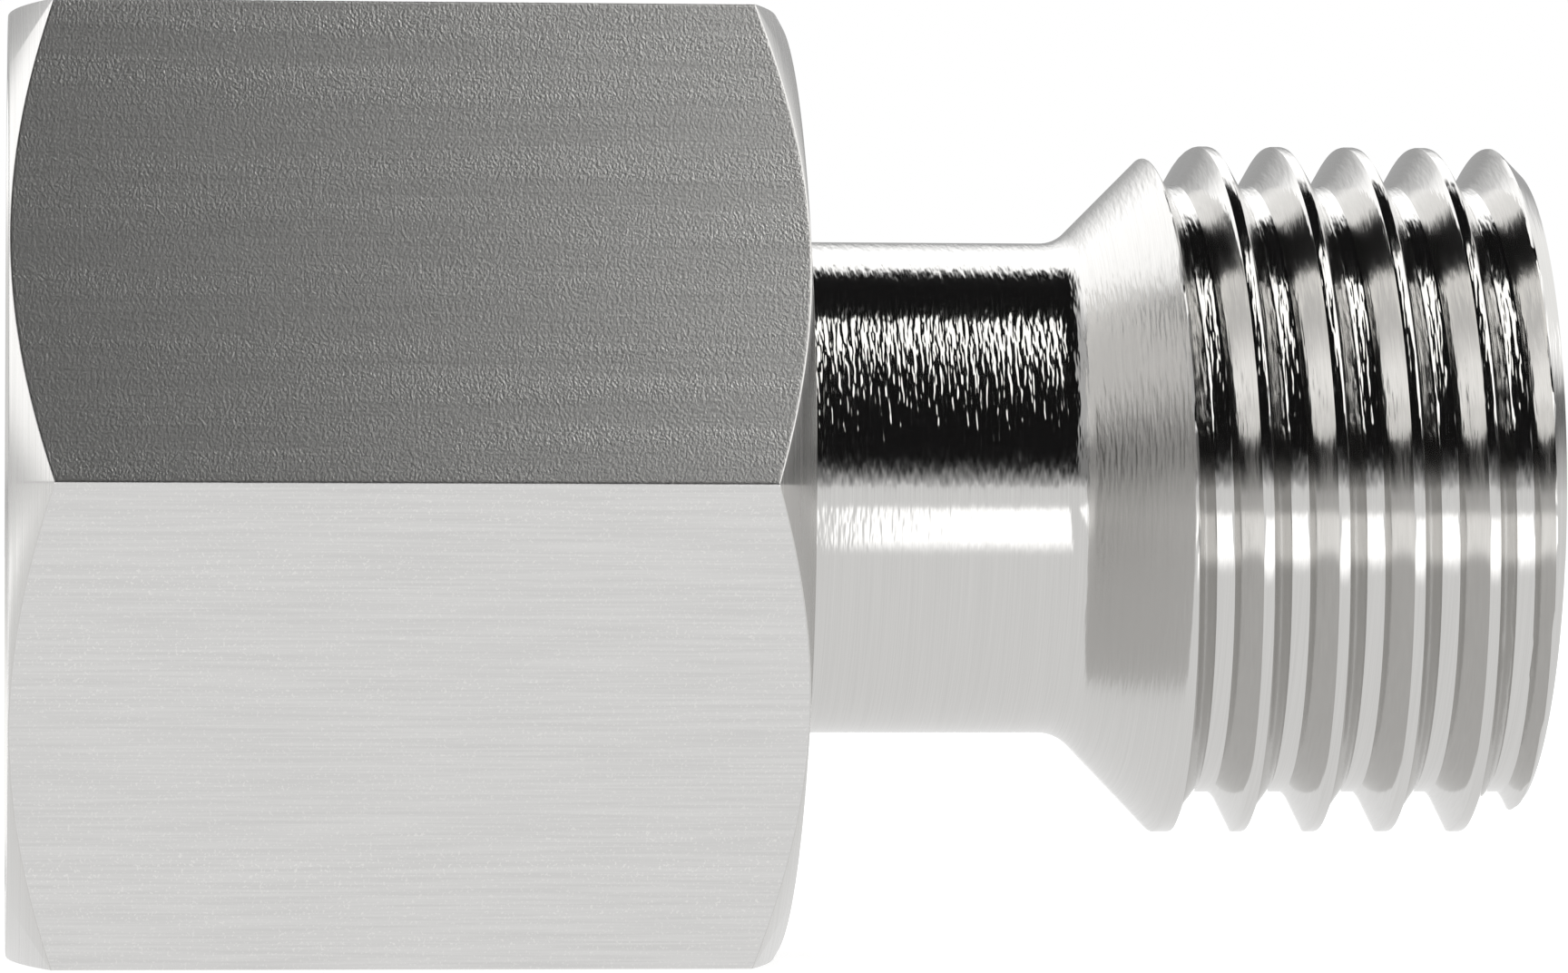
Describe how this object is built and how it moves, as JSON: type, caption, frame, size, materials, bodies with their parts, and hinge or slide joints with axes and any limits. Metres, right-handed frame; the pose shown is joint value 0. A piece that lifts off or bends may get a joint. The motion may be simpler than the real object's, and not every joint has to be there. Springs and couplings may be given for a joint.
{
  "type": "tube reducer",
  "caption": "Straight cutting-ring reducer: plain stub with a hexagonal union nut at one end, male threaded 24 degree tube socket at the other.",
  "frame": {"origin": "centre of the stub's end face, on the common axis, 0.3 mm behind the nut's open front face", "axes": "+X along the axis from the stub to the male thread, +Z square to the upper flat of the nut; it lies on the nut's lower flat, which faces -Z, 9.5 mm below the axis"},
  "size_m": [0.0307, 0.022, 0.019],
  "materials": {
    "turned_steel": "bright turned stainless steel",
    "nut_steel": "drawn hexagon bar, satin, turned chamfers",
    "ring_steel": "turned stainless steel"
  },
  "bodies": {
    "body": {"reducer_body": "turned_steel"},
    "ring": {"cutting_ring": "ring_steel"},
    "nut": {"union_nut": "nut_steel"}
  },
  "joints": [
    {"name": "ring_turn", "type": "hinge", "parent": "body", "child": "ring", "pos_m": [0.005, 0, 0], "axis": [1, 0, 0], "continuous": true},
    {"name": "nut_slide", "type": "slide", "parent": "ring", "child": "nut", "axis": [1, 0, 0], "range_m": [0, 0.006]}
  ]
}
